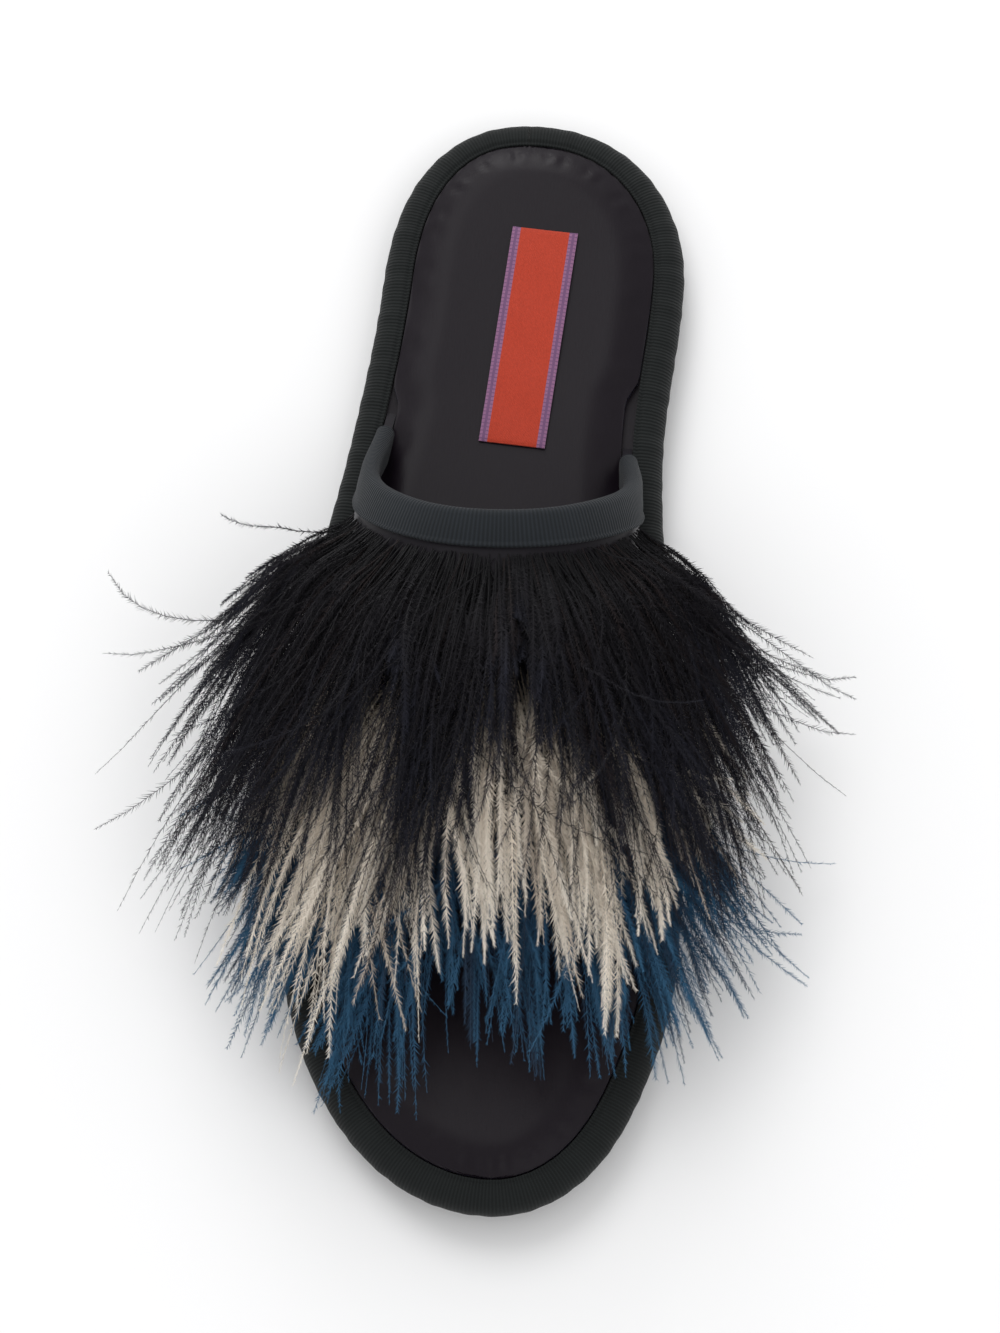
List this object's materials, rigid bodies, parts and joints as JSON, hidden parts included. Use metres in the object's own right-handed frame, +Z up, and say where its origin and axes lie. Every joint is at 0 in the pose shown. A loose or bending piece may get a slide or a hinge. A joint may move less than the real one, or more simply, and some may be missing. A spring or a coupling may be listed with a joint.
{
  "type": "marabou slipper",
  "caption": "Open-toe slide slipper for the right foot, padded black satin footbed edged in grosgrain ribbon, with a band over the forefoot covered in black, cream and petrol-blue feathers.",
  "frame": {"origin": "on the flat underside of the outsole, halfway along the shoe, on the line from the heel's end to the toe's end", "axes": "+Z up, +Y from the toe to the heel, +X towards the medial (big toe) side"},
  "size_m": [0.1497, 0.2628, 0.0667],
  "materials": {
    "satin_black": "black satin weave, soft sheen",
    "grosgrain_black": "ribbed black ribbon, matt",
    "outsole_black": "thin black sole sheet, matt",
    "label_orange": "woven label with lilac borders, bare",
    "feathers_black": "soft feather barbs, blue-black",
    "feathers_cream": "soft feather barbs, cream",
    "feathers_blue": "soft feather barbs, petrol blue"
  },
  "bodies": {
    "root": {"outsole": "outsole_black", "core": "satin_black", "edge_ribbon": "grosgrain_black", "insole": "satin_black", "vamp": "satin_black", "throat_ribbon": "grosgrain_black", "toe_ribbon": "grosgrain_black", "label": "label_orange", "feathers_black": "feathers_black", "feathers_cream": "feathers_cream", "feathers_blue": "feathers_blue"}
  },
  "joints": []
}
